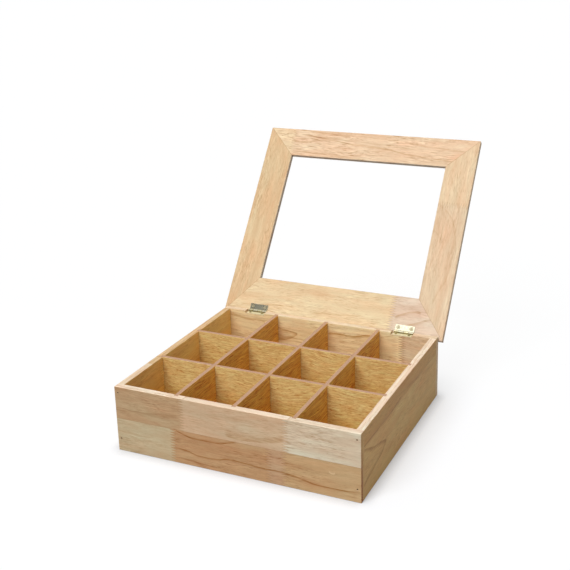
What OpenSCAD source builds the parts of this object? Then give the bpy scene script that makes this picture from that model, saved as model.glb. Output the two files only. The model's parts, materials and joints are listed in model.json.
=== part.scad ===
// A tea bag box of light hardwood. Four butt-jointed boards hold a grid of cross-halved
// plywood dividers, and a mitred lid with a clear window swings on two brass butt hinges.
// The lid is drawn open, leaning back until its rear edge meets the back board.
// The origin is the middle of the underside. X runs left to right, Y front to back, Z up.

/* [Body] */
// Outside width of the body, left to right
box_w = 300; // [260:5:380]
// Outside depth of the body, front to back
box_d = 268; // [220:4:340]
// Height of the body, from the table to the rim
box_h = 80; // [60:1:110]
// Thickness of the front, back and side boards
wall = 8.5; // [7.5:0.5:12]
// Radius sanded on the outer edges of the body and on all edges of the lid's frame
edge_r = 0.7; // [0.3:0.1:1.2]
// Radius sanded on the inner edge of the rim
rim_edge_r = 0.5; // [0.2:0.1:1]

/* [Compartments] */
// Compartments side by side
cells_across = 4; // [2:1:5]
// Compartments front to back
cells_deep = 3; // [2:1:5]
// Thickness of the plywood dividers
divider_t = 5; // [3:0.5:6]
// Radius sanded on the top edges of the dividers
divider_edge_r = 0.4; // [0.2:0.1:1]
// Depth of the grooves that hold the ends of the dividers
groove_depth = 3; // [2:0.5:4]
// Gap on each side of a divider, in its groove and where two dividers cross
divider_fit = 0.1; // [0.05:0.05:0.3]

/* [Bottom panel] */
// Thickness of the plywood bottom panel
base_t = 3; // [2.5:0.5:6]
// How far the bottom panel reaches under each board
base_seat = 5; // [4:0.5:6]
// Gap round the edge of the bottom panel
base_fit = 0.1; // [0.05:0.05:0.3]

/* [Brads] */
// Diameter of a brad
brad_d = 1.2; // [1:0.1:1.6]
// Diameter of a brad's head
brad_head_d = 1.9; // [1.8:0.1:2.6]
// Thickness of a brad's head
brad_head_t = 0.6; // [0.4:0.1:1]
// Depth of a brad's head below the wood's surface
brad_sink = 0.6; // [0.2:0.1:1.2]
// Gap round a brad in its hole
brad_fit = 0.05; // [0.02:0.01:0.1]
// Length of the brads through the front and back boards
corner_brad_len = 25; // [18:1:32]
// Length of the brads through the bottom panel
base_brad_len = 12; // [9:1:14]
// Distance of the corner brads from the ends of the boards
brad_inset = 4.5; // [4:0.5:6]
// Distance of the upper corner brads below the rim
brad_from_rim = 7.5; // [5:0.5:12]
// Distance of the lower corner brads above the table
brad_from_table = 15.5; // [15:0.5:22]

/* [Lid] */
// Thickness of the lid's frame
lid_t = 7; // [7:0.5:12]
// How far the closed lid stands out past the body all round
overhang = 5; // [4.5:0.5:8]
// Width of the left and right frame members
stile_w = 41; // [36:1:50]
// Width of the front frame member
front_rail_w = 41; // [36:1:50]
// Width of the frame member at the hinges
back_rail_w = 51; // [38:1:60]
// Gap between the closed lid and the rim
lid_gap = 0.3; // [0.2:0.1:1]
// Gap between the open lid's rear edge and the back board
stop_gap = 0.25; // [0.1:0.05:0.5]

/* [Window] */
// Thickness of the clear pane
pane_t = 2; // [1.5:0.5:3]
// Depth of the groove in the frame that holds the pane
pane_seat = 5; // [4:0.5:7]
// Gap between the pane's edge and the bottom of its groove
pane_slack = 0.5; // [0.2:0.1:1]
// Gap between each face of the pane and its groove
pane_fit = 0.1; // [0.05:0.05:0.2]

/* [Mitre splines] */
// Thickness of the plywood spline across each mitre
spline_t = 2; // [1.5:0.5:3]
// Width of a spline, half of it in each member
spline_w = 16; // [10:1:18]
// Distance along the mitre from the frame's outer corner to the spline
spline_from_corner = 14; // [13:1:18]
// Distance along the mitre from the spline to the window's corner
spline_from_window = 18; // [18:1:24]
// Gap round a spline in its slot
spline_fit = 0.1; // [0.05:0.05:0.2]

/* [Hinges] */
// Length of a hinge along its pin
hinge_len = 26; // [20:1:36]
// Distance from the body's side to the middle of the hinge
hinge_inset = 46; // [34:1:48]
// Knuckles on each hinge, shared between its two leaves
knuckles = 4; // [3:1:5]
// Thickness of the brass of a leaf
leaf_t = 0.9; // [0.7:0.1:1.1]
// Width of a leaf, from the pin's axis to its free edge
leaf_w = 9.5; // [8.5:0.5:10]
// Distance from the pin's axis to the outer face of each leaf
leaf_offset = 1.8; // [1.7:0.1:2.2]
// Outside diameter of the knuckles
barrel_d = 3.2; // [2.8:0.1:3.3]
// Diameter of the pin
pin_d = 1.6; // [1.2:0.1:1.8]
// Gap round the pin in the knuckles
pin_fit = 0.05; // [0.02:0.01:0.1]
// Gap between neighbouring knuckles
knuckle_gap = 0.2; // [0.1:0.05:0.4]
// Distance of the pin's axis behind the back board
pin_back = 0.95; // [0.8:0.05:1.3]
// Spare length of the notch in the rim at each end of a hinge
notch_slack = 1.5; // [0.5:0.5:3]

/* [Hinge screws] */
// Diameter of a screw's shank
screw_d = 2.2; // [1.8:0.1:2.6]
// Diameter of a screw's countersunk head
screw_head_d = 4; // [3.6:0.1:4.4]
// Gap round a screw in its hole
screw_fit = 0.05; // [0.02:0.01:0.1]
// Distance between the two screws of a leaf
screw_spacing = 17.5; // [12:0.5:20]
// Length of the screws in the rim
rim_screw_len = 12; // [8:1:20]
// Length of the screws in the lid
lid_screw_len = 6.5; // [4:0.5:7]
// Width of the slots of a screw's cross recess
recess_w = 0.5; // [0.3:0.1:0.8]
// Length of the slots of a screw's cross recess
recess_len = 2.2; // [1.4:0.1:2.6]
// Depth of a screw's cross recess
recess_depth = 0.6; // [0.3:0.1:0.8]

/* [Hidden] */
$fn = 48;
// Overshoot of a cut past the face it opens on
cut = 1;
// Clear size of one compartment
cell_w = (box_w - 2 * wall - (cells_across - 1) * divider_t) / cells_across;
cell_d = (box_d - 2 * wall - (cells_deep - 1) * divider_t) / cells_deep;
// Ends of the dividers' grooves, measured between opposite boards
groove_reach_x = box_w - 2 * (wall - groove_depth);
groove_reach_y = box_d - 2 * (wall - groove_depth);
// Height at which the notches of crossing dividers meet
halving_z = (base_t + box_h) / 2;
// The lid, closed
lid_w = box_w + 2 * overhang;
lid_d = box_d + 2 * overhang;
lid_z = box_h + lid_gap;
// Corners of the window, from the middle of the lid
window_x = lid_w / 2 - stile_w;
window_front = -lid_d / 2 + front_rail_w;
window_back = lid_d / 2 - back_rail_w;
// The hinges' common axis
pin_y = box_d / 2 + pin_back;
pin_z = lid_z - leaf_offset;
hinge_x = box_w / 2 - hinge_inset;
barrel_r = barrel_d / 2;
knuckle_len = hinge_len / knuckles;
// The flat of a leaf ends this far from the axis, where it steps up to its knuckles
leaf_step = barrel_r + leaf_t / 2;
// The screws stand in the middle of the leaf's flat
screw_y = -(leaf_w + leaf_step) / 2;
// The lid opens until the rounded lower rear edge is stop_gap from the back board. The edge's
// centre of rounding lies at rear_y behind and rear_z above the axis when the lid is closed.
rear_y = overhang - pin_back - edge_r;
rear_z = leaf_offset + edge_r;
open_angle = atan2(rear_z, rear_y) + acos((edge_r + stop_gap - pin_back) / norm([rear_y, rear_z]));

hardwood = "burlywood";
plywood = "peru";
brass = "gold";
steel = "silver";
clear = [0.85, 0.93, 0.95, 0.3];

LONG_DIVIDERS = [for (i = [1 : cells_across - 1]) str("long_divider_", i)];
CROSS_DIVIDERS = [for (j = [1 : cells_deep - 1]) str("cross_divider_", j)];

// Middle of long divider i and of cross divider j
function long_x(i) = -box_w / 2 + wall + i * cell_w + (i - 0.5) * divider_t;
function cross_y(j) = -box_d / 2 + wall + j * cell_d + (j - 0.5) * divider_t;
// Middle of compartment i across and j deep
function cell_x(i) = -box_w / 2 + wall + (i - 0.5) * cell_w + (i - 1) * divider_t;
function cell_y(j) = -box_d / 2 + wall + (j - 0.5) * cell_d + (j - 1) * divider_t;

// A rectangle about the origin with round corners
module rounded_rect(w, d, r) {
    square([w - 2 * r, d], center = true);
    square([w, d - 2 * r], center = true);
    for (x = [-1, 1], y = [-1, 1]) {
        translate([x * (w / 2 - r), y * (d / 2 - r)]) circle(r);
    }
}

// A block about the Z axis, standing on z = 0, with all its edges sanded round
module eased_block(w, d, h) {
    intersection() {
        linear_extrude(h) rounded_rect(w, d, edge_r);
        translate([0, 0, h / 2]) rotate([90, 0, 0]) {
            linear_extrude(d, center = true) rounded_rect(w, h, edge_r);
        }
        translate([0, 0, h / 2]) rotate([90, 0, 90]) {
            linear_extrude(w, center = true) rounded_rect(d, h, edge_r);
        }
    }
}

// The upright grooves for the long dividers, cut in the front and back boards
module long_grooves() {
    for (i = [1 : cells_across - 1]) {
        translate([long_x(i) - divider_t / 2 - divider_fit, -groove_reach_y / 2, base_t]) {
            cube([divider_t + 2 * divider_fit, groove_reach_y, box_h]);
        }
    }
}

// The upright grooves for the cross dividers, cut in the side boards
module cross_grooves() {
    for (j = [1 : cells_deep - 1]) {
        translate([-groove_reach_x / 2, cross_y(j) - divider_t / 2 - divider_fit, base_t]) {
            cube([groove_reach_x, divider_t + 2 * divider_fit, box_h]);
        }
    }
}

// The sliver sanded off the inner edge of the rim along one board. The board's inner face lies on
// x = 0, its wood at x > 0 and its top on z = 0.
module rim_easing(length) {
    rotate([90, 0, 0]) linear_extrude(length, center = true) difference() {
        translate([-cut, -rim_edge_r]) square([rim_edge_r + cut, rim_edge_r + cut]);
        translate([rim_edge_r, -rim_edge_r]) circle(rim_edge_r);
    }
}

// The slivers sanded off the inner edges of all four boards
module rim_easings() {
    inner_w = box_w - 2 * wall;
    inner_d = box_d - 2 * wall;
    translate([inner_w / 2, 0, box_h]) rim_easing(inner_d);
    translate([0, inner_d / 2, box_h]) rotate(90) rim_easing(inner_w);
    translate([-inner_w / 2, 0, box_h]) rotate(180) rim_easing(inner_d);
    translate([0, -inner_d / 2, box_h]) rotate(-90) rim_easing(inner_w);
}

// The rebate round the underside that the bottom panel lies in
module base_rebate() {
    translate([0, 0, (base_t - cut) / 2]) {
        cube([box_w - 2 * (wall - base_seat), box_d - 2 * (wall - base_seat), base_t + cut], center = true);
    }
}

// A brad with its head on z = 0 and its point up
module brad(length) {
    rotate_extrude() {
        polygon([
            [0, 0],
            [brad_head_d / 2, 0],
            [brad_head_d / 2, brad_head_t],
            [brad_d / 2, brad_head_t],
            [brad_d / 2, length - brad_d],
            [0, length]
        ]);
    }
}

// The hole of a driven brad, open to the surface that the brad went in by
module brad_hole(length) {
    translate([0, 0, -brad_sink - cut]) {
        cylinder(h = cut + brad_sink + brad_head_t + brad_fit, d = brad_head_d + 2 * brad_fit);
    }
    cylinder(h = length + brad_fit, d = brad_d + 2 * brad_fit);
}

// Puts a brad at each corner brad's place, driven in from the front and from the back
module at_corner_brads() {
    for (x = [brad_inset - box_w / 2, box_w / 2 - brad_inset]) {
        for (z = [brad_from_table, box_h - brad_from_rim]) {
            translate([x, brad_sink - box_d / 2, z]) rotate([-90, 0, 0]) children();
            translate([x, box_d / 2 - brad_sink, z]) rotate([90, 0, 0]) children();
        }
    }
}

// Puts a brad under the middle of each compartment that lies along a board, driven in from below
module at_base_brads() {
    inset = wall - base_seat / 2;
    for (i = [1 : cells_across], y = [inset - box_d / 2, box_d / 2 - inset]) {
        translate([cell_x(i), y, brad_sink]) children();
    }
    for (j = [1 : cells_deep], x = [inset - box_w / 2, box_w / 2 - inset]) {
        translate([x, cell_y(j), brad_sink]) children();
    }
}

// The notch through the back board's rim that one hinge lies in
module hinge_notch() {
    length = hinge_len + 2 * notch_slack;
    translate([-length / 2, box_d / 2 - wall - cut, pin_z - leaf_offset]) {
        cube([length, wall + 2 * cut, box_h]);
    }
}

// A board of the body: the part of the whole eased body that lies within the given box
module body_board(low, size) {
    intersection() {
        eased_block(box_w, box_d, box_h);
        translate(low) cube(size);
    }
}

module front_board() {
    color(hardwood) difference() {
        body_board([-box_w / 2, -box_d / 2, 0], [box_w, wall, box_h]);
        rim_easings();
        long_grooves();
        base_rebate();
        at_corner_brads() brad_hole(corner_brad_len);
        at_base_brads() brad_hole(base_brad_len);
    }
}

module back_board() {
    color(hardwood) difference() {
        body_board([-box_w / 2, box_d / 2 - wall, 0], [box_w, wall, box_h]);
        rim_easings();
        long_grooves();
        base_rebate();
        at_corner_brads() brad_hole(corner_brad_len);
        at_base_brads() brad_hole(base_brad_len);
        for (x = [-hinge_x, hinge_x]) {
            translate([x, 0, 0]) hinge_notch();
        }
        at_rim_screws() screw_hole(rim_screw_len);
    }
}

// A side board, between the front and back boards, with its outer face at x times half the width
module side_board(x) {
    color(hardwood) difference() {
        body_board([x * (box_w - wall) / 2 - wall / 2, wall - box_d / 2, 0], [wall, box_d - 2 * wall, box_h]);
        rim_easings();
        cross_grooves();
        base_rebate();
        at_corner_brads() brad_hole(corner_brad_len);
        at_base_brads() brad_hole(base_brad_len);
    }
}

module left_side_board() {
    side_board(-1);
}

module right_side_board() {
    side_board(1);
}

module base_panel() {
    panel_w = box_w - 2 * (wall - base_seat + base_fit);
    panel_d = box_d - 2 * (wall - base_seat + base_fit);
    color(plywood) difference() {
        translate([-panel_w / 2, -panel_d / 2, 0]) cube([panel_w, panel_d, base_t]);
        at_base_brads() brad_hole(base_brad_len);
    }
}

// A divider before its notches are cut, along the Y axis and standing on z = 0
module divider_blank(length) {
    height = box_h - base_t;
    rotate([90, 0, 0]) linear_extrude(length, center = true) {
        translate([-divider_t / 2, 0]) square([divider_t, height - divider_edge_r]);
        translate([divider_edge_r - divider_t / 2, 0]) square([divider_t - 2 * divider_edge_r, height]);
        for (x = [divider_edge_r - divider_t / 2, divider_t / 2 - divider_edge_r]) {
            translate([x, height - divider_edge_r]) circle(divider_edge_r);
        }
    }
}

// A front-to-back divider, notched from below over the cross dividers
module long_divider(i) {
    color(plywood) difference() {
        translate([long_x(i), 0, base_t]) divider_blank(groove_reach_y - 2 * divider_fit);
        for (j = [1 : cells_deep - 1]) {
            translate([long_x(i), cross_y(j), base_t]) {
                notch_w = divider_t + 2 * divider_fit;
                notch_h = halving_z - base_t;
                translate([0, 0, (notch_h - cut) / 2]) {
                    cube([divider_t + 2 * cut, notch_w, notch_h + cut], center = true);
                }
            }
        }
    }
}

// A side-to-side divider, notched from above to take the long dividers
module cross_divider(j) {
    color(plywood) difference() {
        translate([0, cross_y(j), base_t]) rotate(90) divider_blank(groove_reach_x - 2 * divider_fit);
        for (i = [1 : cells_across - 1]) {
            translate([long_x(i), cross_y(j), halving_z]) {
                notch_w = divider_t + 2 * divider_fit;
                notch_h = box_h - halving_z;
                translate([0, 0, (notch_h + cut) / 2]) {
                    cube([notch_w, divider_t + 2 * cut, notch_h + cut], center = true);
                }
            }
        }
    }
}

module corner_brads() {
    color(steel) at_corner_brads() brad(corner_brad_len);
}

module base_brads() {
    color(steel) at_base_brads() brad(base_brad_len);
}

// Swings what is drawn closed about the hinges' axis, to where the open lid stops
module opened() {
    translate([0, pin_y, pin_z]) rotate([-open_angle, 0, 0]) translate([0, -pin_y, -pin_z]) children();
}

// The space of the pane in the closed lid, grown by the given gaps at its edge and its faces
module pane_space(edge_gap, face_gap) {
    reach = pane_seat - pane_slack + edge_gap;
    translate([-window_x - reach, window_front - reach, lid_z + (lid_t - pane_t) / 2 - face_gap]) {
        cube([2 * (window_x + reach), window_back - window_front + 2 * reach, pane_t + 2 * face_gap]);
    }
}

// A spline across the mitre from an outer corner to a window corner, grown by the given gap
module spline_between(outer, inner, gap) {
    mitre = inner - outer;
    length = norm(mitre) - spline_from_corner - spline_from_window;
    translate([outer.x, outer.y, lid_z + lid_t / 2]) rotate(atan2(mitre.y, mitre.x)) {
        translate([spline_from_corner - gap, -spline_w / 2 - gap, -spline_t / 2 - gap]) {
            cube([length + 2 * gap, spline_w + 2 * gap, spline_t + 2 * gap]);
        }
    }
}

// The four splines of the closed lid, or with a gap their slots
module splines(gap) {
    for (x = [-1, 1]) {
        spline_between([x * lid_w / 2, -lid_d / 2], [x * window_x, window_front], gap);
        spline_between([x * lid_w / 2, lid_d / 2], [x * window_x, window_back], gap);
    }
}

// A bar along the Y axis with all its long edges sanded round
module lid_bar(w) {
    rotate([90, 0, 0]) linear_extrude(2 * (lid_w + lid_d), center = true) rounded_rect(w, lid_t, edge_r);
}

// A frame member of the lid: a bar, placed by the caller, cut to the given outline as seen from
// above the closed lid
module lid_member(outline) {
    color(hardwood) opened() difference() {
        intersection() {
            translate([0, 0, lid_z + lid_t / 2]) children();
            translate([0, 0, lid_z - cut]) linear_extrude(lid_t + 2 * cut) rounded_rect(lid_w, lid_d, edge_r);
            translate([0, 0, lid_z - cut]) linear_extrude(lid_t + 2 * cut) polygon(outline);
        }
        pane_space(pane_slack, pane_fit);
        splines(spline_fit);
        at_lid_screws() screw_hole(lid_screw_len);
    }
}

module lid_front_rail() {
    lid_member([
        [-lid_w / 2, -lid_d / 2],
        [lid_w / 2, -lid_d / 2],
        [window_x, window_front],
        [-window_x, window_front]
    ]) {
        translate([0, (front_rail_w - lid_d) / 2, 0]) rotate(90) lid_bar(front_rail_w);
    }
}

module lid_back_rail() {
    lid_member([
        [-window_x, window_back],
        [window_x, window_back],
        [lid_w / 2, lid_d / 2],
        [-lid_w / 2, lid_d / 2]
    ]) {
        translate([0, (lid_d - back_rail_w) / 2, 0]) rotate(90) lid_bar(back_rail_w);
    }
}

// A side member of the lid, on the left for x = -1 and on the right for x = 1
module lid_stile(x) {
    lid_member([
        [x * window_x, window_front],
        [x * lid_w / 2, -lid_d / 2],
        [x * lid_w / 2, lid_d / 2],
        [x * window_x, window_back]
    ]) {
        translate([x * (lid_w - stile_w) / 2, 0, 0]) lid_bar(stile_w);
    }
}

module lid_left_stile() {
    lid_stile(-1);
}

module lid_right_stile() {
    lid_stile(1);
}

module window_pane() {
    color(clear) opened() pane_space(0, 0);
}

module mitre_splines() {
    color(plywood) opened() splines(0);
}

// A leaf about its pin's axis, which is X. The leaf lies below the axis and reaches forward.
// Its knuckles are number first, first + 2 and so on, counted from the left.
module hinge_leaf(first) {
    difference() {
        union() {
            rotate([90, 0, 90]) linear_extrude(hinge_len, center = true) {
                polygon([
                    [-leaf_w, -leaf_offset],
                    [-leaf_step, -leaf_offset],
                    [0, -barrel_r],
                    [0, leaf_t - barrel_r],
                    [-leaf_step, leaf_t - leaf_offset],
                    [-leaf_w, leaf_t - leaf_offset]
                ]);
            }
            rotate([0, 90, 0]) cylinder(h = hinge_len, r = barrel_r, center = true);
        }
        for (k = [1 - first : 2 : knuckles - 1]) {
            translate([k * knuckle_len - hinge_len / 2 - knuckle_gap / 2, -barrel_r - knuckle_gap, -barrel_d]) {
                cube([knuckle_len + knuckle_gap, barrel_d + 2 * knuckle_gap, 2 * barrel_d]);
            }
        }
        rotate([0, 90, 0]) cylinder(h = hinge_len + 2 * cut, d = pin_d + 2 * pin_fit, center = true);
        for (x = [-screw_spacing / 2, screw_spacing / 2]) {
            translate([x, screw_y, leaf_t - leaf_offset]) rotate([180, 0, 0]) screw_hole(2 * leaf_t);
        }
    }
}

// Puts a leaf or pin of the left or right hinge at its place in the closed box
module at_hinge(x) {
    translate([x * hinge_x, pin_y, pin_z]) children();
}

module rim_leaf(x) {
    color(brass) at_hinge(x) hinge_leaf(0);
}

module lid_leaf(x) {
    color(brass) opened() at_hinge(x) mirror([0, 0, 1]) hinge_leaf(1);
}

// A pin as long as its hinge, with its ends broken
module hinge_pin(x) {
    bevel = pin_d / 6;
    color(brass) at_hinge(x) translate([-hinge_len / 2, 0, 0]) rotate([0, 90, 0]) rotate_extrude() {
        polygon([
            [0, 0],
            [pin_d / 2 - bevel, 0],
            [pin_d / 2, bevel],
            [pin_d / 2, hinge_len - bevel],
            [pin_d / 2 - bevel, hinge_len],
            [0, hinge_len]
        ]);
    }
}

// A countersunk screw with the top of its head on z = 0 and its point up
module screw(length) {
    head_h = (screw_head_d - screw_d) / 2;
    difference() {
        rotate_extrude() {
            polygon([
                [0, 0],
                [screw_head_d / 2, 0],
                [screw_d / 2, head_h],
                [screw_d / 2, length - screw_d],
                [0, length]
            ]);
        }
        for (turn = [0, 90]) {
            rotate(turn) cube([recess_len, recess_w, 2 * recess_depth], center = true);
        }
    }
}

// The countersunk hole of a screw, open at z = 0
module screw_hole(length) {
    head_h = (screw_head_d - screw_d) / 2;
    translate([0, 0, -cut]) cylinder(h = cut, d = screw_head_d + 2 * screw_fit);
    cylinder(h = head_h, d1 = screw_head_d + 2 * screw_fit, d2 = screw_d + 2 * screw_fit);
    cylinder(h = length + screw_fit, d = screw_d + 2 * screw_fit);
}

// Puts a screw at each place in the rim leaves, driven down
module at_rim_screws() {
    for (side = [-1, 1], x = [-screw_spacing / 2, screw_spacing / 2]) {
        at_hinge(side) translate([x, screw_y, leaf_t - leaf_offset]) rotate([180, 0, 0]) children();
    }
}

// Puts a screw at each place in the lid leaves of the closed box, driven up
module at_lid_screws() {
    for (side = [-1, 1], x = [-screw_spacing / 2, screw_spacing / 2]) {
        at_hinge(side) translate([x, screw_y, leaf_offset - leaf_t]) children();
    }
}

module rim_screws() {
    color(brass) at_rim_screws() screw(rim_screw_len);
}

module lid_screws() {
    color(brass) opened() at_lid_screws() screw(lid_screw_len);
}

front_board();
back_board();
left_side_board();
right_side_board();
base_panel();
for (i = [1 : cells_across - 1]) {
    long_divider(i);
}
for (j = [1 : cells_deep - 1]) {
    cross_divider(j);
}
corner_brads();
base_brads();
lid_front_rail();
lid_back_rail();
lid_left_stile();
lid_right_stile();
window_pane();
mitre_splines();
rim_leaf(-1);  // left_hinge_rim_leaf
lid_leaf(-1);  // left_hinge_lid_leaf
hinge_pin(-1);  // left_hinge_pin
rim_leaf(1);  // right_hinge_rim_leaf
lid_leaf(1);  // right_hinge_lid_leaf
hinge_pin(1);  // right_hinge_pin
rim_screws();
lid_screws();
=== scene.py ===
import json
from math import pi, radians, tau

import bmesh
import bpy
from mathutils import Matrix, Vector


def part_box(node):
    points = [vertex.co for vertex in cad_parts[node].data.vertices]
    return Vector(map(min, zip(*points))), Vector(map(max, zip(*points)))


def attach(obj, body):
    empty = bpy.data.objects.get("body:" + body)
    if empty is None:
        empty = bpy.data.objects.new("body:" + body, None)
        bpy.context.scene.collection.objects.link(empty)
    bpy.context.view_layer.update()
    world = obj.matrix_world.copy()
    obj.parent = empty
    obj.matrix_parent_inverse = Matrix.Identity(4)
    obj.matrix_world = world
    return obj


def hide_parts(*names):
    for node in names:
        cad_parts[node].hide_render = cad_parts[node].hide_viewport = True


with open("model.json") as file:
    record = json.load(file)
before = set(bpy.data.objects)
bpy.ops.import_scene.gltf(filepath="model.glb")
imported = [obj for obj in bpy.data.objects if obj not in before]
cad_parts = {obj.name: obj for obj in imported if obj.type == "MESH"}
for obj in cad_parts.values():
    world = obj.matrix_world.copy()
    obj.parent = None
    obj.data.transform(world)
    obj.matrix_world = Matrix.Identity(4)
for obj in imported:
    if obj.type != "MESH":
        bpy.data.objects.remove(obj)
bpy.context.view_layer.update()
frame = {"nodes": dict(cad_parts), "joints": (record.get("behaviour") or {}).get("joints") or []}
nodes = frame["nodes"]

# Front board
# A light hardwood board glued up from two strips, one over the other. Each strip is made of short
# blocks joined end to end by small fingers. It is sanded and lacquered, and nailed to the sides.


class Socket:
    """An output of a node. Arithmetic on it adds Math nodes to its tree."""

    def __init__(self, socket):
        self.socket = socket

    def node(self, kind, values, output=0, points=(), **settings):
        """Adds a node to the tree, sets it up, then gives its sockets their values or links."""
        tree = self.socket.id_data
        added = tree.nodes.new(kind)
        for name, setting in settings.items():
            setattr(added, name, setting)
        if points:
            curve = added.mapping.curves[0]
            curve.points[0].location = points[0]
            curve.points[1].location = points[-1]
            for x, y in points[1:-1]:
                curve.points.new(x, y)
            added.mapping.update()
        for key, value in values.items():
            if isinstance(value, Socket):
                tree.links.new(value.socket, added.inputs[key])
            else:
                added.inputs[key].default_value = value
        return Socket(added.outputs[output]) if added.outputs else None

    def math(self, operation, *values):
        """The result of a Math node."""
        return self.node("ShaderNodeMath", dict(enumerate(values)), operation=operation)

    def __add__(self, other):
        return self.math("ADD", self, other)

    __radd__ = __add__

    def __sub__(self, other):
        return self.math("SUBTRACT", self, other)

    def __rsub__(self, other):
        return self.math("SUBTRACT", other, self)

    def __mul__(self, other):
        return self.math("MULTIPLY", self, other)

    __rmul__ = __mul__

    def __truediv__(self, other):
        return self.math("DIVIDE", self, other)

    def __gt__(self, other):
        return self.math("GREATER_THAN", self, other)

    def __lt__(self, other):
        return self.math("LESS_THAN", self, other)

    def __abs__(self):
        return self.math("ABSOLUTE", self)

    def ramp(self, start, end):
        """Rises smoothly from 0 at start to 1 at end."""
        values = {"Value": self, "From Min": start, "From Max": end}
        return self.node("ShaderNodeMapRange", values, interpolation_type="SMOOTHSTEP")

    def band(self, rise, fall):
        """Rises smoothly from 0 to 1 over the first pair and falls back to 0 over the second."""
        return self.ramp(*rise) * (1 - self.ramp(*fall))

    def mix(self, below, above):
        """The colour below where this is 0 and above where it is 1, and further on outside that."""
        values = {0: self, 6: below, 7: above}
        return self.node("ShaderNodeMix", values, output=2, data_type="RGBA", clamp_factor=False)

    def parts(self, axes="xyz"):
        """The parts of a vector along these axes."""
        outputs = self.node("ShaderNodeSeparateXYZ", {0: self}).socket.node.outputs
        return [Socket(outputs["xyz".index(axis)]) for axis in axes]


def linear(code):
    """The colour that a screen shows for this hexadecimal code."""
    shown = [int(code[i:i + 2], 16) / 255 for i in (0, 2, 4)]
    return [((c + 0.055) / 1.055) ** 2.4 if c > 0.04045 else c / 12.92 for c in shown] + [1]


def material(name, surface):
    """A new material, made by surface from the object's coordinates and normal."""
    made = bpy.data.materials.new(name)
    made.use_nodes = True
    made.node_tree.nodes.clear()
    coordinates = made.node_tree.nodes.new("ShaderNodeTexCoord").outputs
    shader = surface(Socket(coordinates["Object"]), Socket(coordinates["Normal"]))
    shader.node("ShaderNodeOutputMaterial", {"Surface": shader})
    return made


def dress(node_name, finish):
    """Gives a piece of the frame its finish."""
    nodes[node_name].data.materials.clear()
    nodes[node_name].data.materials.append(finish)


def streaks(fibre, seed, detail, length, width):
    """Noise drawn out along the grain: about 0 on average, in streaks of this length and width."""
    along, across, through = fibre
    space = along.node(
        "ShaderNodeCombineXYZ", {0: along / length, 1: across / width, 2: through / width}
    )
    values = {"Vector": space, "W": seed, "Scale": 1, "Detail": detail, "Roughness": 0.6}
    return space.node("ShaderNodeTexNoise", values, output="Fac", noise_dimensions="4D") - 0.5


FINGER_PITCH = 0.0032
FINGER_LENGTH = 0.0075


def finger_joint(along, across, place):
    """Distance past a finger joint at that place along a strip, and before it less than 0."""
    tooth = across.math("PINGPONG", across, FINGER_PITCH / 2) * (2 * FINGER_LENGTH / FINGER_PITCH)
    return along + tooth - (place + FINGER_LENGTH / 2)


def growth_line(along, across, line):
    """A growth line through the line's points, sharp below it and fading out above it, or the other
    way round where its width is negative. It is dark, or pale where its strength is negative."""
    places, width, strength = line
    first, last = places[0][0], places[-1][0]
    low = min(v for u, v in places)
    high = max(v for u, v in places)
    points = [((u - first) / (last - first), (v - low) / (high - low)) for u, v in places]
    share = (along - first) / (last - first)
    curve = share.node("ShaderNodeFloatCurve", {"Value": share}, points=points)
    past = (across - curve * (high - low) - low) / width
    return past.band((-0.12, 0.04), (0, 1)) * share.band((-0.02, 0.06), (0.94, 1.02)) * strength


SEAM = 0.0004
FINGER_SEAM = 0.001
STRIP_SEED, BLOCK_SEED = 2.7, 1.3


def end_to_end(along, across, blocks, seed):
    """The tone, the seed, the seams and the shade of the fingers of one strip. Each of its blocks
    is given by where it starts and its tone."""
    tone, seams, shade = linear(blocks[0][1]), 0, 0
    for count, (start, block_tone) in enumerate(blocks[1:], 1):
        past = finger_joint(along, across, start)
        begun = past > 0
        tone = begun.mix(tone, linear(block_tone))
        seed = seed + begun * (BLOCK_SEED + count)
        seams = seams + (abs(past) < FINGER_SEAM)
        shade = shade + (1 - abs(past).ramp(0, FINGER_LENGTH)) * (begun - 0.5)
    return tone, seed, seams, shade


def glued_up(along, across, strips):
    """The same for a whole board. Its strips are given from below up, each by where it starts and
    its blocks."""
    tone, seed, seams, shade = end_to_end(along, across, strips[0][1], 0)
    for number, (bottom, blocks) in enumerate(strips[1:], 1):
        upper = end_to_end(along, across, blocks, STRIP_SEED * number)
        upper_tone, upper_seed, upper_seams, upper_shade = upper
        above = across > bottom
        tone = above.mix(tone, upper_tone)
        seed = seed + above * (upper_seed - seed)
        seams = seams + above * (upper_seams - seams) + (abs(across - bottom) < SEAM)
        shade = shade + above * (upper_shade - shade)
    return tone, seed, seams, shade


RING_WIDTH = 0.0055


def heart_rings(along, across, through, heart, wander, bands):
    """The growth rings round the heart of the trunk, about 0 on average and each darkest at its
    outer edge."""
    heart_across, heart_through, run_across, run_through = heart
    side = across - heart_across - along * run_across
    depth = through - heart_through - along * run_through
    radius = side.math("SQRT", side * side + depth * depth) + wander * 0.008
    ring = radius.math("FRACT", radius / RING_WIDTH + bands * 0.6)
    return ring.band((0.3, 0.93), (0.95, 1)) - 0.4


def tone_by(place, tone, stain):
    """The tone seen through a stain."""
    values = {0: 1, 6: tone, 7: stain}
    return place.node("ShaderNodeMix", values, output=2, data_type="RGBA", blend_type="MULTIPLY")


BROWN_STAIN = (0.55, 0.36, 0.2, 1)
LINE_STAIN = (0.58, 0.36, 0.12, 1)
END_STAIN = (0.92, 0.86, 0.78, 1)
BLUSH = (1, 0.86, 0.8, 1)
# Painted warm bounce light on an inner face
WARM_BOUNCE = (1.06, 1.02, 0.66, 1)


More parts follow.
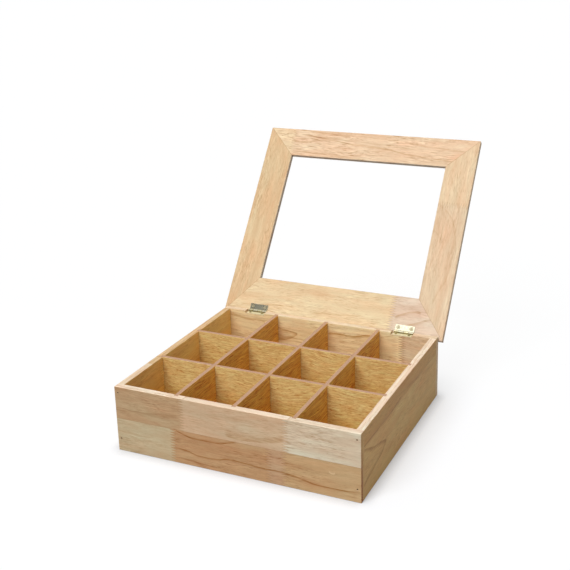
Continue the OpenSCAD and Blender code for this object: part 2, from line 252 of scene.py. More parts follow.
def lumber(
    name,
    axes,
    strips,
    rim=(),
    ends=None,
    corner=None,
    heart=None,
    rings=0.1,
    lines=(),
    figure=1,
    fingers=0.15,
    warm_bounce_past=None,
    closed_lid=None,
):
    """Lacquered hardwood, glued up from strips of blocks.

    axes are those along, across and through the board.
    rim holds the blocks of the rim, and ends is the tone of the end grain.
    corner is the face next to which the end grain is darker, most of all low down.
    heart is the place of the trunk's heart across and through the board, and how far it runs
    across and through it for each metre along.
    lines are single growth lines, each by its points, its width and its strength.
    rings, figure and fingers are the strengths of the rings, the fibres and the finger joints.
    warm_bounce_past is the place through the board past which its tone is more golden: painted
    warm bounce light on the inner face.
    closed_lid turns a member of the open lid back to the closed one, in which its grain is laid.
    """

    def board_tone(place, tone, along, through, on_end, on_rim):
        """The tone of the faces, of the rim and of the ends, under the grain."""
        # Painted warm bounce light: past that place the inner face is more golden and brighter
        if warm_bounce_past:
            tone = (through > warm_bounce_past).mix(tone, tone_by(place, tone, WARM_BOUNCE))
        rim_tone = linear(rim[0][1]) if rim else tone
        for block_start, block_tone in rim[1:]:
            rim_tone = (along > block_start).mix(rim_tone, linear(block_tone))
        tone = on_rim.mix(tone, rim_tone)
        end_tone = linear(ends) if ends else tone
        return on_end.mix(tone, tone_by(place, end_tone, END_STAIN))

    def surface(place, normal):
        if closed_lid:
            place = place.node("ShaderNodeMapping", {"Vector": place, **closed_lid})
            turn = {"Vector": normal, "Rotation": closed_lid["Rotation"]}
            normal = normal.node("ShaderNodeMapping", turn, vector_type="VECTOR")
        along, across, through = place.parts(axes)
        on_end, on_rim = [abs(part).ramp(0.6, 0.9) for part in normal.parts(axes[:2])]
        tone, seed, seams, shade = glued_up(along, across, strips)
        tone = board_tone(place, tone, along, through, on_end, on_rim)
        wander = streaks((along, across, through), seed, 1, length=0.12, width=0.05)
        bent = across + wander * 0.01
        fibre = (along, bent, through)
        blush = streaks(fibre, seed + 20, 2, length=0.05, width=0.014)
        bands = streaks(fibre, seed, 2, length=0.08, width=0.008)
        fibres = streaks(fibre, seed, 4, length=0.014, width=0.0012)
        flecks = streaks(fibre, seed + 9, 1, length=0.009, width=0.001).ramp(0.08, 0.18)
        pores = streaks(fibre, seed, 1, length=0.005, width=0.0004).ramp(0.1, 0.2)
        coarse = streaks(fibre, seed + 5, 1, length=0.05, width=0.02).ramp(-0.15, 0.2)
        rim_fibres = streaks(fibre, seed + 3, 1, length=0.2, width=0.002)
        figured = (fibres * 1.5 + flecks * 0.35) * (coarse + 0.4) * figure
        dark = bands * 0.75 + figured + pores * 0.25
        dark = dark + seams * 0.3 + shade * fingers + on_rim * rim_fibres
        if corner:
            near_corner = 1 - abs(through - corner).ramp(0.0025, 0.0055)
            dark = dark + on_end * near_corner * (1.3 - across * 13)
        if heart:
            dark = dark + heart_rings(along, bent, through, heart, wander, bands) * rings
        if closed_lid:
            dark = dark + mitre_glue(*place.parts("xy")) * 0.35
        rosy = (blush * 3).mix(tone, tone_by(place, tone, BLUSH))
        colour = dark.mix(rosy, tone_by(place, rosy, BROWN_STAIN))
        for line in lines:
            lined = growth_line(along, across + bands * 0.001, line) * (0.8 + fibres * 1.5)
            colour = lined.mix(colour, tone_by(place, colour, LINE_STAIN))
        relief = place.node(
            "ShaderNodeBump",
            {"Strength": 0.5, "Distance": 0.0001, "Height": fibres - pores},
        )
        return place.node(
            "ShaderNodeBsdfPrincipled",
            {
                "Base Color": colour,
                "Roughness": 0.5 + fibres * 0.2 + pores * 0.2,
                "Normal": relief,
                "IOR": 1.4,
                "Specular IOR Level": 0.3,
            },
        )

    return material(name, surface)


PALE_RIM = "fae3c8"
FRONT_SPLIT = 0.041
FRONT_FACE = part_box("front_board")[0].y

dress("front_board", lumber(
    "front_board_lumber",
    "xzy",
    [
        (0, [(-0.15, "c9b28e"), (-0.0755, "c59b71"), (0.043, "c7a17d"), (0.0615, "cba67a")]),
        (FRONT_SPLIT, [(-0.15, "c3a17b"), (-0.064, "d4b694"), (0.0635, "decaae")]),
    ],
    lines=[
        ([(-0.074, 0.0411), (-0.067, 0.0381), (-0.058, 0.0355), (-0.051, 0.034), (-0.036, 0.0341),
          (-0.018, 0.0345), (-0.008, 0.0367), (0.005, 0.0402)], 0.003, 0.95),
        ([(-0.074, 0.0193), (-0.056, 0.0177), (-0.038, 0.0145), (-0.019, 0.0152), (-0.003, 0.0186),
          (0.009, 0.0183), (0.033, 0.0168), (0.056, 0.0169), (0.086, 0.0133), (0.11, 0.0107),
          (0.149, 0.0145)], -0.003, 0.95),
        ([(-0.073, 0.0065), (-0.053, 0.0073), (-0.038, 0.0051), (-0.016, 0.0081)], -0.003, 0.4),
        ([(-0.144, 0.0526), (-0.117, 0.0541), (-0.092, 0.0562), (-0.067, 0.0598)], -0.006, 0.35),
        ([(-0.009, 0.048), (0.005, 0.0449), (0.024, 0.0459), (0.045, 0.0488),
          (0.062, 0.0531)], 0.012, 0.5),
        ([(0.1135, 0.0292), (0.1155, 0.0276), (0.118, 0.0272), (0.1205, 0.0288)], 0.003, -0.8),
    ],
    rim=[(-0.15, PALE_RIM)],
    ends="e6ba76",
    corner=FRONT_FACE,
))

# Back board
# A board of the same hardwood, notched through at the rim for the two hinges. It has a finger joint
# near its right end, where a pinker block begins.

dress("back_board", lumber(
    "back_board_lumber",
    "xzy",
    [(0, [(-0.15, "ebd2a3"), (0.103, "e1c6a2")])],
    heart=(0.03, 0.15, 0, 0.03),
    rings=0.12,
    lines=[
        ([(-0.142, 0.0713), (-0.128, 0.0695), (-0.115, 0.0682), (-0.103, 0.0688),
          (-0.088, 0.0665)], 0.005, 0.6),
        ([(-0.071, 0.064), (-0.062, 0.0616), (-0.053, 0.0604), (-0.045, 0.0593),
          (-0.041, 0.0575)], -0.006, 0.7),
        ([(-0.071, 0.0443), (-0.059, 0.0468), (-0.05, 0.0505), (-0.045, 0.0538),
          (-0.041, 0.0573)], 0.006, 0.7),
        ([(-0.073, 0.0475), (-0.04, 0.0465), (-0.002, 0.048)], 0.03, 0.25),
        ([(0.002, 0.0645), (0.012, 0.0673), (0.022, 0.0671), (0.034, 0.0667), (0.047, 0.0686),
          (0.059, 0.0713), (0.066, 0.0712)], -0.005, 0.95),
        ([(0.076, 0.0715), (0.085, 0.0737), (0.094, 0.0771)], -0.003, 0.5),
        ([(0.106, 0.0719), (0.117, 0.0719), (0.129, 0.0705)], 0.003, 0.4),
    ],
    rim=[(-0.15, "eed3b2")],
    ends="f2d6ac",
    fingers=1,
))

# Side boards
# Two boards of the same hardwood, cut to fit between the front and back boards. Their ends are
# glued to those and held by brads. The left one is painted more golden inside, as warm bounce light
# in the box, and the right one is amber.

LEFT_INNER_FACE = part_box("left_side_board")[1].x

dress("left_side_board", lumber(
    "left_side_lumber",
    "yzx",
    [
        (0, [(-0.1255, "f3d29a"), (0.02, "f0c992")]),
        (0.044, [(-0.1255, "ecc796"), (-0.05, "f3d3a2")]),
    ],
    heart=(0.03, -0.3, 0.02, 0.02),
    rim=[(-0.1255, "f3dbbb"), (-0.067, "e5bf90")],
    # Painted warm bounce light on the inner face
    warm_bounce_past=LEFT_INNER_FACE - 0.001,
))
dress("right_side_board", lumber(
    "right_side_lumber",
    "yzx",
    [
        (0, [(-0.1255, "e4b56d")]),
        (0.061, [(-0.1255, "d7a35a")]),
    ],
    heart=(0.037, 0.1, 0, -0.1),
    rings=0.05,
    lines=[
        ([(-0.134, 0.0605), (-0.125, 0.0577), (-0.112, 0.0529), (-0.096, 0.0468), (-0.075, 0.0415),
          (-0.058, 0.0357)], -0.006, 0.8),
        ([(-0.134, 0.0125), (-0.129, 0.0139), (-0.119, 0.0176), (-0.103, 0.0202), (-0.089, 0.0234),
          (-0.075, 0.0254), (-0.063, 0.031), (-0.058, 0.035)], 0.006, 0.8),
        ([(-0.134, 0.0625), (-0.115, 0.0622), (-0.089, 0.0617), (-0.061, 0.0611), (-0.036, 0.0616),
          (-0.021, 0.064), (-0.008, 0.0646)], -0.005, 0.6),
        ([(0.01, 0.0656), (0.043, 0.0607), (0.077, 0.0555), (0.114, 0.0501)], 0.006, 0.35),
    ],
    rim=[(-0.1255, PALE_RIM)],
))

# Dividers and bottom panel
# Thin plywood with an open-pored veneer over a pinkish core. The dividers are notched over each
# other and stand in grooves in the boards. Low down in the cells their tone is painted: darker for
# the shade on the cross dividers, and warmer for the bounce light on the long ones.

VENEER = 0.0002
CORE = linear("c9a082")
PORE_STAIN = (0.68, 0.37, 0.1, 1)


def plywood(name, axes, middle, thickness, tone, painted_depth_tone, grain, closed_lid=None):
    """Plywood whose sheet lies across the third axis, about its middle there. Near the bottom its
    tone turns to the low one, which is painted light and shade deep in the cells. Its grain is how
    strong and how long its fibres are, and its seed."""
    figure, reach, seed = grain

    def surface(place, normal):
        if closed_lid:
            place = place.node("ShaderNodeMapping", {"Vector": place, **closed_lid})
        along, across, through = place.parts(axes)
        wander = streaks((along, across, through), seed, 1, length=0.08, width=0.03)
        across = across + wander * 0.02
        fibre = (along, across, through)
        broad = streaks(fibre, seed, 1, length=0.04, width=0.012)
        rosy = streaks(fibre, seed + 30, 2, length=0.02, width=0.005)
        fibres = streaks(fibre, seed, 3, length=reach, width=0.0007)
        flecks = streaks(fibre, seed + 9, 1, length=reach / 2, width=0.0006).ramp(0.08, 0.16)
        pores = streaks(fibre, seed, 1, length=0.004, width=0.0005).ramp(0.08, 0.17)
        dark = broad * 0.5 + (fibres * 2.9 + flecks * 0.6) * figure + pores * 0.25 - 0.12
        [height] = place.parts("z")
        # Painted light and shade: towards the bottom of the cells the tone turns to the painted low
        # one
        painted_by_depth = height.ramp(0.005, 0.06).mix(linear(painted_depth_tone), linear(tone))
        warm = (rosy * 3).mix(painted_by_depth, tone_by(place, painted_by_depth, BLUSH))
        face = dark.mix(warm, tone_by(place, warm, PORE_STAIN))
        inner = abs(through - middle) < thickness / 2 - VENEER
        edge = streaks((across, along, through), seed + 4, 2, length=0.01, width=0.0012)
        core = edge.mix(CORE, tone_by(place, CORE, BROWN_STAIN))
        relief = place.node(
            "ShaderNodeBump",
            {"Strength": 0.6, "Distance": 0.0001, "Height": fibres * 0.5 - pores},
        )
        return place.node(
            "ShaderNodeBsdfPrincipled",
            {
                "Base Color": inner.mix(face, core),
                "Roughness": 0.55 + pores * 0.2,
                "Normal": relief,
                "Specular IOR Level": 0.3,
            },
        )

    return material(name, surface)


# The low tones are painted: shade low on the cross dividers, warm bounce light low on the long ones
HONEY = "dbb877"
PAINTED_DEPTH_HONEY = "c4983c"
DEEP_HONEY = "e8b256"
PAINTED_DEPTH_DEEP_HONEY = "ffc766"
sheets = [
    *[("long_divider_%d" % i, "yzx", DEEP_HONEY, PAINTED_DEPTH_DEEP_HONEY, 1.9, 0.025) for i in (1, 2, 3)],
    *[("cross_divider_%d" % i, "xzy", HONEY, PAINTED_DEPTH_HONEY, 1.3, 0.01) for i in (1, 2)],
    ("base_panel", "xyz", HONEY, HONEY, 1, 0.01),
]
SHEET_SEED = 1.7
for seed, (name, axes, tone, painted_depth_tone, figure, reach) in enumerate(sheets):
    low, high = [corner["xyz".index(axes[2])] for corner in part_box(name)]
    middle, thickness = (low + high) / 2, high - low
    grain = (figure, reach, seed * SHEET_SEED)
    dress(name, plywood(name + "_ply", axes, middle, thickness, tone, painted_depth_tone, grain))

# Brads
# Thin steel pins, punched below the surface of the wood: through the front and back boards into the
# sides, and through the bottom panel into all four boards.

# The darker colour of metal under painted shade and grime
SHADE_AND_GRIME_TONE = (0.35, 0.3, 0.14, 1)


def metal(name, tone, rough, brushed=None, shade_and_grime=None):
    """Metal, a little uneven in colour and polish. It is darker in its corners and recesses, which
    is painted shade, and where it is given grime and painted shade. In front of the place brushed
    it is matt."""

    def surface(place, normal):
        clean = linear(tone)
        worn = place.parts("y")[0] < brushed if brushed else 0
        # Painted shade: the colour darkens in corners and recesses
        reach = {"Distance": 0.0015}
        open_air = place.node("ShaderNodeAmbientOcclusion", reach, output="AO", samples=8)
        open_air = open_air.ramp(0.2, 1)
        if shade_and_grime:
            open_air = open_air * (1 - shade_and_grime(place))
        cloud = {"Vector": place, "Scale": 400, "Detail": 3}
        cloudy = place.node("ShaderNodeTexNoise", cloud, output="Fac") - 0.5
        dull = cloudy.mix(clean, tone_by(place, clean, BROWN_STAIN))
        relief = place.node(
            "ShaderNodeBump",
            {"Strength": 0.3, "Distance": 0.00005, "Height": cloudy},
        )
        return place.node(
            "ShaderNodeBsdfPrincipled",
            {
                "Base Color": open_air.mix(tone_by(place, dull, SHADE_AND_GRIME_TONE), dull),
                "Metallic": 1 - worn * 0.6,
                "Roughness": rough + cloudy * 0.2 + worn * 0.2,
                "Normal": relief,
            },
        )

    return material(name, surface)


dark_steel = metal("dark_steel", "7a5f45", 0.5)
dress("corner_brads", dark_steel)
dress("base_brads", dark_steel)

# Lid frame
# Four flat hardwood members, mitred at the corners and held by hidden plywood splines. The member
# at the hinges is the widest, and a block of pinker wood is finger-jointed on at its right end.

hinge = frame["joints"][0]
pin = Vector(hinge["pos_m"])
open_angle = radians(hinge["range_deg"][1])
opened = Matrix.Translation(pin) @ Matrix.Rotation(-open_angle, 4, "X") @ Matrix.Translation(-pin)
CLOSED = {"Rotation": (open_angle, 0, 0), "Location": opened.inverted().translation}
GLUE, GLUE_END = 0.0004, 0.001
WINDOW_HALF, WINDOW_FRONT, WINDOW_BACK = 0.114, -0.098, 0.088
STILE, BACK_RAIL = 0.041, 0.051
# A paler tone for the edges of the lid's members: painted light, most of all on the window's inner
# edges, which lie in shade
LIT_LID_EDGE = "fbe6cc"


def mitre_glue(x, y):
    """1 on the glue lines of the four mitres of the closed lid."""
    out = abs(x) - WINDOW_HALF
    front = abs(out + y - WINDOW_FRONT) < GLUE * 2 ** 0.5
    slope = BACK_RAIL / STILE
    back = abs(out * slope - (y - WINDOW_BACK)) < GLUE * (1 + slope ** 2) ** 0.5
    return front * (y < WINDOW_FRONT + GLUE_END) + back * (y > WINDOW_BACK - GLUE_END)


dress("lid_front_rail", lumber(
    "lid_front_rail_lumber",
    "xyz",
    [(-0.139, [(-0.155, "ecd0aa"), (-0.116, "e8c7a5")])],
    lines=[
        ([(-0.106, -0.1335), (-0.078, -0.1286), (-0.046, -0.1241), (-0.006, -0.1193),
          (0.026, -0.1173), (0.058, -0.1121), (0.089, -0.1092), (0.125, -0.1062)], 0.003, 0.5),
        ([(-0.11, -0.1385), (-0.072, -0.136), (-0.031, -0.1331)], 0.003, 0.35),
        ([(-0.024, -0.1213), (0.006, -0.1191), (0.036, -0.1159)], -0.003, 0.4),
        ([(-0.113, -0.1046), (-0.067, -0.1014), (-0.002, -0.0987)], -0.004, 0.35),
        ([(-0.1, -0.1292), (-0.05, -0.1262), (0.01, -0.1228), (0.07, -0.1182)], -0.0025, 0.3),
        ([(-0.02, -0.1345), (0.03, -0.1315), (0.08, -0.1262), (0.14, -0.1215)], 0.0025, 0.3),
    ],
    # Painted light on the edges
    rim=[(-0.155, LIT_LID_EDGE)],
    figure=1.35,
    closed_lid=CLOSED,
))
dress("lid_back_rail", lumber(
    "lid_back_rail_lumber",
    "xyz",
    [(WINDOW_BACK, [(-0.155, "e4caa2"), (0.0825, "dfc5ad")])],
    lines=[
        ([(0.087, 0.1162), (0.097, 0.1107), (0.108, 0.1066), (0.121, 0.1056)], 0.006, 0.5),
        ([(0.1, 0.1265), (0.106, 0.1244), (0.119, 0.1193), (0.131, 0.1142),
          (0.139, 0.1131)], 0.006, 0.5),
        ([(-0.133, 0.1274), (-0.119, 0.1274), (-0.093, 0.1247), (-0.067, 0.123),
          (-0.053, 0.1227)], -0.002, 0.5),
        ([(-0.026, 0.126), (-0.005, 0.1248), (0.02, 0.1231), (0.044, 0.1206)], 0.002, 0.4),
    ],
    closed_lid=CLOSED,
))
dress("lid_left_stile", lumber(
    "lid_left_stile_lumber",
    "yxz",
    [(-0.155, [(-0.139, "dcbc93")])],
    # Painted light on the edges
    rim=[(-0.139, LIT_LID_EDGE)],
    closed_lid=CLOSED,
))
dress("lid_right_stile", lumber(
    "lid_right_stile_lumber",
    "yxz",
    [(WINDOW_HALF, [(-0.139, "e4c7a3"), (-0.044, "dfc2a1")])],
    heart=(0.1, 0.02, 0.1, 0.15),
    rings=0.05,
    figure=0.7,
    fingers=0.05,
    lines=[
        ([(-0.041, 0.1206), (-0.03, 0.133), (-0.017, 0.1414), (0, 0.147), (0.017, 0.1486),
          (0.038, 0.1475), (0.059, 0.1448), (0.076, 0.1383), (0.096, 0.1321)], -0.004, 0.25),
        ([(-0.007, 0.1153), (-0.001, 0.1233), (0.011, 0.1298)], -0.004, 0.2),
    ],
    closed_lid=CLOSED,
))

LID_MIDDLE, SPLINE_THICKNESS = 0.0838, 0.002
SPLINE_GRAIN = (1, 0.01, 5.1)
dress("mitre_splines", plywood(
    "spline_ply", "xyz", LID_MIDDLE, SPLINE_THICKNESS, HONEY, HONEY, SPLINE_GRAIN, CLOSED
))

# Window
# A thin, clear plastic pane. It sits loose in a groove round the inside of the lid frame, which was
# glued up around it.


def clear_sheet(place, normal):
    cloud = {"Vector": place, "Scale": 60, "Detail": 2}
    haze = place.node("ShaderNodeTexNoise", cloud, output="Fac")
    return place.node(
        "ShaderNodeBsdfPrincipled",
        {
            "Base Color": (1, 1, 1, 1),
            "Roughness": 0.03 + haze * 0.03,
            "Alpha": 0.06,
            "IOR": 1.49,
        },
    )


dress("window_pane", material("clear_sheet", clear_sheet))

# Hinges
# Two small butt hinges of thin plated brass. The rim leaf lies in a notch in the back board, and
# the other is screwed flat to the lid. Their edges are slightly rounded from the press.

PRESS_RADIUS = 0.00015
FLAT, SHARP = radians(1), radians(35)


def in_scene(name, data):
    """A new object with this data."""
    made = bpy.data.objects.new(name, data)
    bpy.context.scene.collection.objects.link(made)
    return made


def pressed(node_name, body, finish):
    """A copy of the node with its triangles joined and its edges rounded."""
    shape = bmesh.new()
    shape.from_mesh(nodes[node_name].data)
    bmesh.ops.remove_doubles(shape, verts=shape.verts, dist=1e-6)
    bmesh.ops.dissolve_limit(shape, angle_limit=FLAT, verts=shape.verts, edges=shape.edges)
    for face in shape.faces:
        face.smooth = True
    for edge in shape.edges:
        edge.smooth = edge.calc_face_angle(pi) < SHARP
    mesh = bpy.data.meshes.new(node_name + "_pressed")
    shape.to_mesh(mesh)
    shape.free()
    piece = in_scene(mesh.name, mesh)
    rounding = piece.modifiers.new("rounding", "BEVEL")
    rounding.width = PRESS_RADIUS
    rounding.segments = 2
    rounding.limit_method = "ANGLE"
    rounding.angle_limit = SHARP
    rounding.harden_normals = True
    mesh.materials.append(finish)
    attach(piece, body)
    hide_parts(node_name)


# From the middle of the box to that of a hinge, and from there and from the pin to a screw's head
HINGE_X = 0.104
SCREW_X, SCREW_Y, LEAF_FACE = 0.00875, -0.005775, -0.0009
# The barrel is polished up to this far from the pin
POLISHED = 0.0018
on_rim_leaf = Matrix.Translation(pin)
on_lid_leaf = on_rim_leaf @ Matrix.Rotation(pi - open_angle, 4, "X")


def shade_and_grime_at(head, in_rings, in_fold=0):
    """Grime and painted shade round the edges of the screw heads, which lie in line with this head,
    and a painted shadow in the fold between the barrel and the rim leaf."""

    def shade_and_grime(place):
        x, y, z = place.parts()
        aside, fore, above = abs(abs(x) - HINGE_X) - SCREW_X, y - head.y, z - head.z
        away = x.math("SQRT", aside * aside + fore * fore + above * above)
        # Grime and painted shade round each screw head
        ring = away.band((0.001, 0.0018), (0.0021, 0.003))
        # Painted shadow in the fold under the barrel
        fold = (pin.y - y).band((0.0014, POLISHED), (0.003, 0.005))
        return ring * in_rings + fold * in_fold

    return shade_and_grime


rim_head = on_rim_leaf @ Vector((0, SCREW_Y, LEAF_FACE))
lid_head = on_lid_leaf @ Vector((0, -SCREW_Y, LEAF_FACE))
# Painted shade round the screw heads and in the fold under the barrel, with grime
rim_shade_and_grime = shade_and_grime_at(rim_head, in_rings=0.2, in_fold=0.75)
lid_shade_and_grime = shade_and_grime_at(lid_head, in_rings=0.65)
pin_brass = metal("pin_brass", "f3ebc4", 0.12)
lid_brass = metal("lid_brass", "f2ebcf", 0.12, shade_and_grime=lid_shade_and_grime)
rim_brass = metal("rim_brass", "faf0c8", 0.12, brushed=pin.y - POLISHED, shade_and_grime=rim_shade_and_grime)
for side in ("left", "right"):
    pressed(side + "_hinge_rim_leaf", "box", rim_brass)
    pressed(side + "_hinge_lid_leaf", "lid", lid_brass)
    dress(side + "_hinge_pin", pin_brass)

# Hinge screws
# Brass wood screws with countersunk heads and a cross recess: two in each leaf, driven down into
# the rim and up into the lid, each left at its own turn.

RIM_SCREW_LENGTH, LID_SCREW_LENGTH = 0.012, 0.0065
screw_sizes = {
    "Head width": 0.004,
    "Shank width": 0.0022,
    "Length": RIM_SCREW_LENGTH,
    "Slot width": 0.0008,
    "Slot length": 0.0026,
    "Slot depth": 0.0004,
    "Recess width": 0.0014,
    "Recess depth": 0.0013,
    "Thread pitch": 0.0009,
    "Thread depth": 0.0003,
}
ROUND = 24

tree = bpy.data.node_groups.new("wood_screws", "GeometryNodeTree")
tree.interface.new_socket("Places", in_out="INPUT", socket_type="NodeSocketGeometry")
for size in screw_sizes:
    tree.interface.new_socket(size, in_out="INPUT", socket_type="NodeSocketFloat")
tree.interface.new_socket("Finish", in_out="INPUT", socket_type="NodeSocketMaterial")
tree.interface.new_socket("Screws", in_out="OUTPUT", socket_type="NodeSocketGeometry")
given = {out.name: Socket(out) for out in tree.nodes.new("NodeGroupInput").outputs if out.name}
start = given["Places"]
head_radius = given["Head width"] / 2
core_radius = given["Shank width"] / 2 - given["Thread depth"]
head_height = (given["Head width"] - given["Shank width"]) / 2
tip_height = given["Shank width"]


def cone(low, wide_below, wide_above, height):
    """An open cone whose lower rim is at that height."""
    values = {"Vertices": ROUND, "Radius Bottom": wide_below, "Radius Top": wide_above}
    made = start.node("GeometryNodeMeshCone", {**values, "Depth": height}, fill_type="NONE")
    lift = start.node("ShaderNodeCombineXYZ", {2: low})
    return start.node("GeometryNodeTransform", {"Geometry": made, "Translation": lift})


def joined(*pieces):
    """All the pieces in one geometry, each linked to the same socket."""
    join = start.node("GeometryNodeJoinGeometry", {})
    for piece in reversed(pieces):
        tree.links.new(piece.socket, join.socket.node.inputs[0])
    return join


rim = {"Vertices": ROUND, "Radius": head_radius}
top = start.node("GeometryNodeMeshCircle", rim, fill_type="NGON")
neck = 0 - head_height
tip = tip_height - given["Length"]
body = joined(
    top,
    cone(neck, core_radius, head_radius, head_height),
    cone(tip, core_radius, core_radius, neck - tip),
    cone(0 - given["Length"], 0, core_radius, tip_height),
)
body = start.node("GeometryNodeMergeByDistance", {"Geometry": body, "Distance": 1e-5})
cuts = []
for along, across in (("Slot length", "Slot width"), ("Slot width", "Slot length")):
    sides = {0: given[along], 1: given[across], 2: given["Slot depth"] * 2}
    size = start.node("ShaderNodeCombineXYZ", sides)
    cuts.append(start.node("GeometryNodeMeshCube", {"Size": size}))
# The middle of the recess tapers downwards and has its named width at the face of the head
taper = {
    "Vertices": 8,
    "Radius Bottom": given["Recess width"] * 0.2,
    "Radius Top": given["Recess width"] * 0.8,
    "Depth": given["Recess depth"] * 2,
}
centre = start.node("GeometryNodeMeshCone", taper)
lift = start.node("ShaderNodeCombineXYZ", {2: 0 - given["Recess depth"]})
cuts.append(start.node("GeometryNodeTransform", {"Geometry": centre, "Translation": lift}))
for cut in cuts:
    body = start.node(
        "GeometryNodeMeshBoolean",
        {"Mesh 1": body, "Mesh 2": cut},
        operation="DIFFERENCE",
        solver="MANIFOLD",
    )
rise = neck - tip
spiral = start.node("GeometryNodeCurveSpiral", {
    "Resolution": 12,
    "Rotations": rise / given["Thread pitch"],
    "Start Radius": core_radius,
    "End Radius": core_radius,
    "Height": rise,
})
lift = start.node("ShaderNodeCombineXYZ", {2: tip})
spiral = start.node("GeometryNodeTransform", {"Geometry": spiral, "Translation": lift})
triangle = {"Resolution": 3, "Radius": given["Thread depth"]}
ridge = start.node("GeometryNodeCurvePrimitiveCircle", triangle)
swept = {"Curve": spiral, "Profile Curve": ridge, "Fill Caps": True}
thread = start.node("GeometryNodeCurveToMesh", swept)
full_turn = {"Min": 0.0, "Max": tau, "Seed": 4}
turns = start.node("FunctionNodeRandomValue", full_turn, output="Value", data_type="FLOAT")
screws = start.node("GeometryNodeInstanceOnPoints", {
    "Points": given["Places"],
    "Instance": joined(body, thread),
    "Rotation": start.node("ShaderNodeCombineXYZ", {2: turns}),
})
screws = start.node("GeometryNodeRealizeInstances", {"Geometry": screws})
screws = start.node("GeometryNodeSetMaterial", {"Geometry": screws, "Material": given["Finish"]})
start.node("NodeGroupOutput", {"Screws": screws})


def driven(name, body_name, length, seat, seats, finish):
    """Screws of that length at the seats, in the frame that seat gives."""
    mesh = bpy.data.meshes.new(name + "_places")
    mesh.from_pydata(seats, [], [])
    piece = in_scene(name + "_driven", mesh)
    modifier = piece.modifiers.new("screws", "NODES")
    modifier.node_group = tree
    values = {**screw_sizes, "Length": length, "Finish": finish}
    for item in tree.interface.items_tree:
        if item.name in values:
            modifier[item.identifier] = values[item.name]
    shaped = piece.evaluated_get(bpy.context.evaluated_depsgraph_get())
    screws_mesh = bpy.data.meshes.new_from_object(shaped)
    screws_mesh.transform(seat)
    piece.modifiers.clear()
    piece.data = screws_mesh
    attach(piece, body_name)
    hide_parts(name)


across_box = [side * HINGE_X + x for side in (-1, 1) for x in (-SCREW_X, SCREW_X)]
driven(
    "rim_screws",
    "box",
    RIM_SCREW_LENGTH,
    on_rim_leaf,
    [(x, SCREW_Y, LEAF_FACE) for x in across_box],
    metal("rim_screw_brass", "f5ecc6", 0.2, shade_and_grime=rim_shade_and_grime),
)
driven(
    "lid_screws",
    "lid",
    LID_SCREW_LENGTH,
    on_lid_leaf,
    [(x, -SCREW_Y, LEAF_FACE) for x in across_box],
    metal("lid_screw_brass", "fff6d8", 0.3, shade_and_grime=lid_shade_and_grime),
)

# Floor and light
# A white studio table, evenly lit by one wide lamp over the left shoulder and by a pale room. The
# camera sees the table lighter than it is, so that it runs into the white background.


def straight_seen(point):
    """1 where the camera looks, also by way of metal or of the clear pane, and elsewhere 0."""
    path = point.node("ShaderNodeLightPath", {}).socket.node.outputs
    rays = ("Is Camera Ray", "Is Glossy Ray", "Is Transmission Ray")
    camera, glossy, clear = [Socket(path[ray]) for ray in rays]
    return camera + glossy + clear


TABLE_GREYS = (0.3, 0.3, 0.3, 1), (0.25, 0.25, 0.25, 1)
SHADED_TABLE = (0.52, 0.53, 0.55, 1)
WHITE = (1, 1, 1, 1)
TABLE_GLOW = 0.515
CONTACT_SHADE = 0.016
WHITE_FROM, WHITE_BY, WHITENESS = 0.08, 0.22, 0.85


def white_table(place, normal):
    grain = place.node("ShaderNodeTexNoise", {"Vector": place, "Scale": 40}, output="Fac") * 0.02
    matt = place.node("ShaderNodeBsdfDiffuse", {"Color": grain.mix(*TABLE_GREYS)})
    shade = place.node("ShaderNodeBsdfDiffuse", {"Color": SHADED_TABLE})
    contact = {"Color": WHITE, "Distance": CONTACT_SHADE}
    open_sky = place.node("ShaderNodeAmbientOcclusion", contact, samples=8)
    glow = place.node("ShaderNodeEmission", {"Color": open_sky, "Strength": TABLE_GLOW})
    bright = place.node("ShaderNodeAddShader", {0: shade, 1: glow})
    glare = place.node("ShaderNodeEmission", {"Color": open_sky, "Strength": 1})
    behind = place.parts("y")[0].ramp(WHITE_FROM, WHITE_BY) * WHITENESS
    bright = place.node("ShaderNodeMixShader", {0: behind, 1: bright, 2: glare})
    return place.node("ShaderNodeMixShader", {0: straight_seen(place), 1: matt, 2: bright})


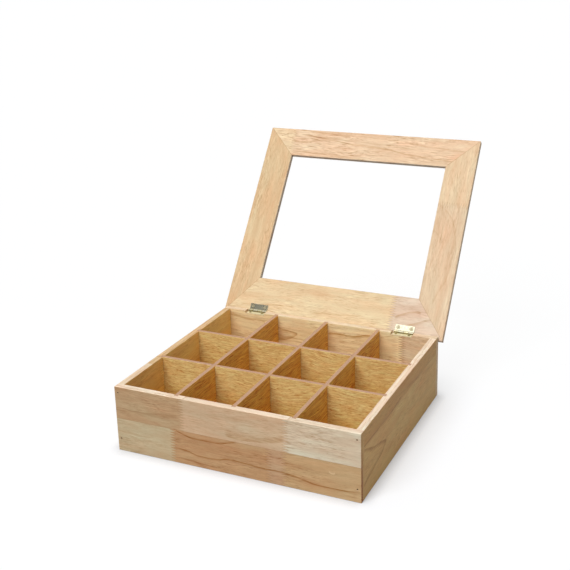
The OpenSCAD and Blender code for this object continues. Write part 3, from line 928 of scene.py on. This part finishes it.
FLOOR_REACH = 40
floor_mesh = bpy.data.meshes.new("floor")
corners = [(x, y, 0) for x in (-FLOOR_REACH, FLOOR_REACH) for y in (-FLOOR_REACH, FLOOR_REACH)]
floor_mesh.from_pydata(corners, [], [(0, 2, 3, 1)])
floor = in_scene("floor", floor_mesh)
floor_mesh.materials.append(material("white_table", white_table))

lamp = bpy.data.lights.new("softbox", "SUN")
lamp.energy = 2.45
lamp.angle = radians(38)
softbox = in_scene("softbox", lamp)
softbox.visible_glossy = False
lamp_from = Vector((-0.15, -0.62, 0.77))
softbox.rotation_euler = lamp_from.to_track_quat("Z", "Y").to_euler()

room = bpy.data.worlds.new("pale_room")
room.use_nodes = True
room.node_tree.nodes.clear()
towards = Socket(room.node_tree.nodes.new("ShaderNodeTexCoord").outputs["Generated"])

# The brass reflects a white room with a dim ceiling and one bright window
ROOM_LIGHT, CEILING, DAYLIGHT = 0.43, 0.25, 1.7
WINDOW_WAY = (0.1, -0.66, 0.745)
[height] = towards.parts("z")
dim = height.band((0.3, 0.6), (0.75, 0.85))
aim = {0: towards, 1: WINDOW_WAY}
at_window = towards.node("ShaderNodeVectorMath", aim, output="Value", operation="DOT_PRODUCT")
window = at_window.ramp(0.86, 0.9)
shown = 1 - dim * (1 - CEILING) + window * (DAYLIGHT - CEILING)
strength = ROOM_LIGHT + straight_seen(towards) * (shown - ROOM_LIGHT)
sky = towards.node("ShaderNodeBackground", {"Strength": strength})
sky.node("ShaderNodeOutputWorld", {"Surface": sky})
bpy.context.scene.world = room

# Camera
# It stands to the right of the box and above it, 1.2 m away, and looks past it: the lens is
# shifted so that the box lies in the lower right of the lens's own view.

view = bpy.data.cameras.new("camera")
view.lens = 61.86
view.shift_x = -0.056
view.shift_y = -0.114
camera = in_scene("camera", view)
camera_place = Vector((0.4749, -0.9648, 0.5685))
azimuth, elevation, roll = radians(23.96), radians(16.34), radians(-1.14)
camera.matrix_world = (
    Matrix.Translation(camera_place)
    @ Matrix.Rotation(azimuth, 4, "Z")
    @ Matrix.Rotation(pi / 2 - elevation, 4, "X")
    @ Matrix.Rotation(roll, 4, "Z")
)
bpy.context.scene.camera = camera
bpy.context.scene.view_settings.view_transform = "Standard"
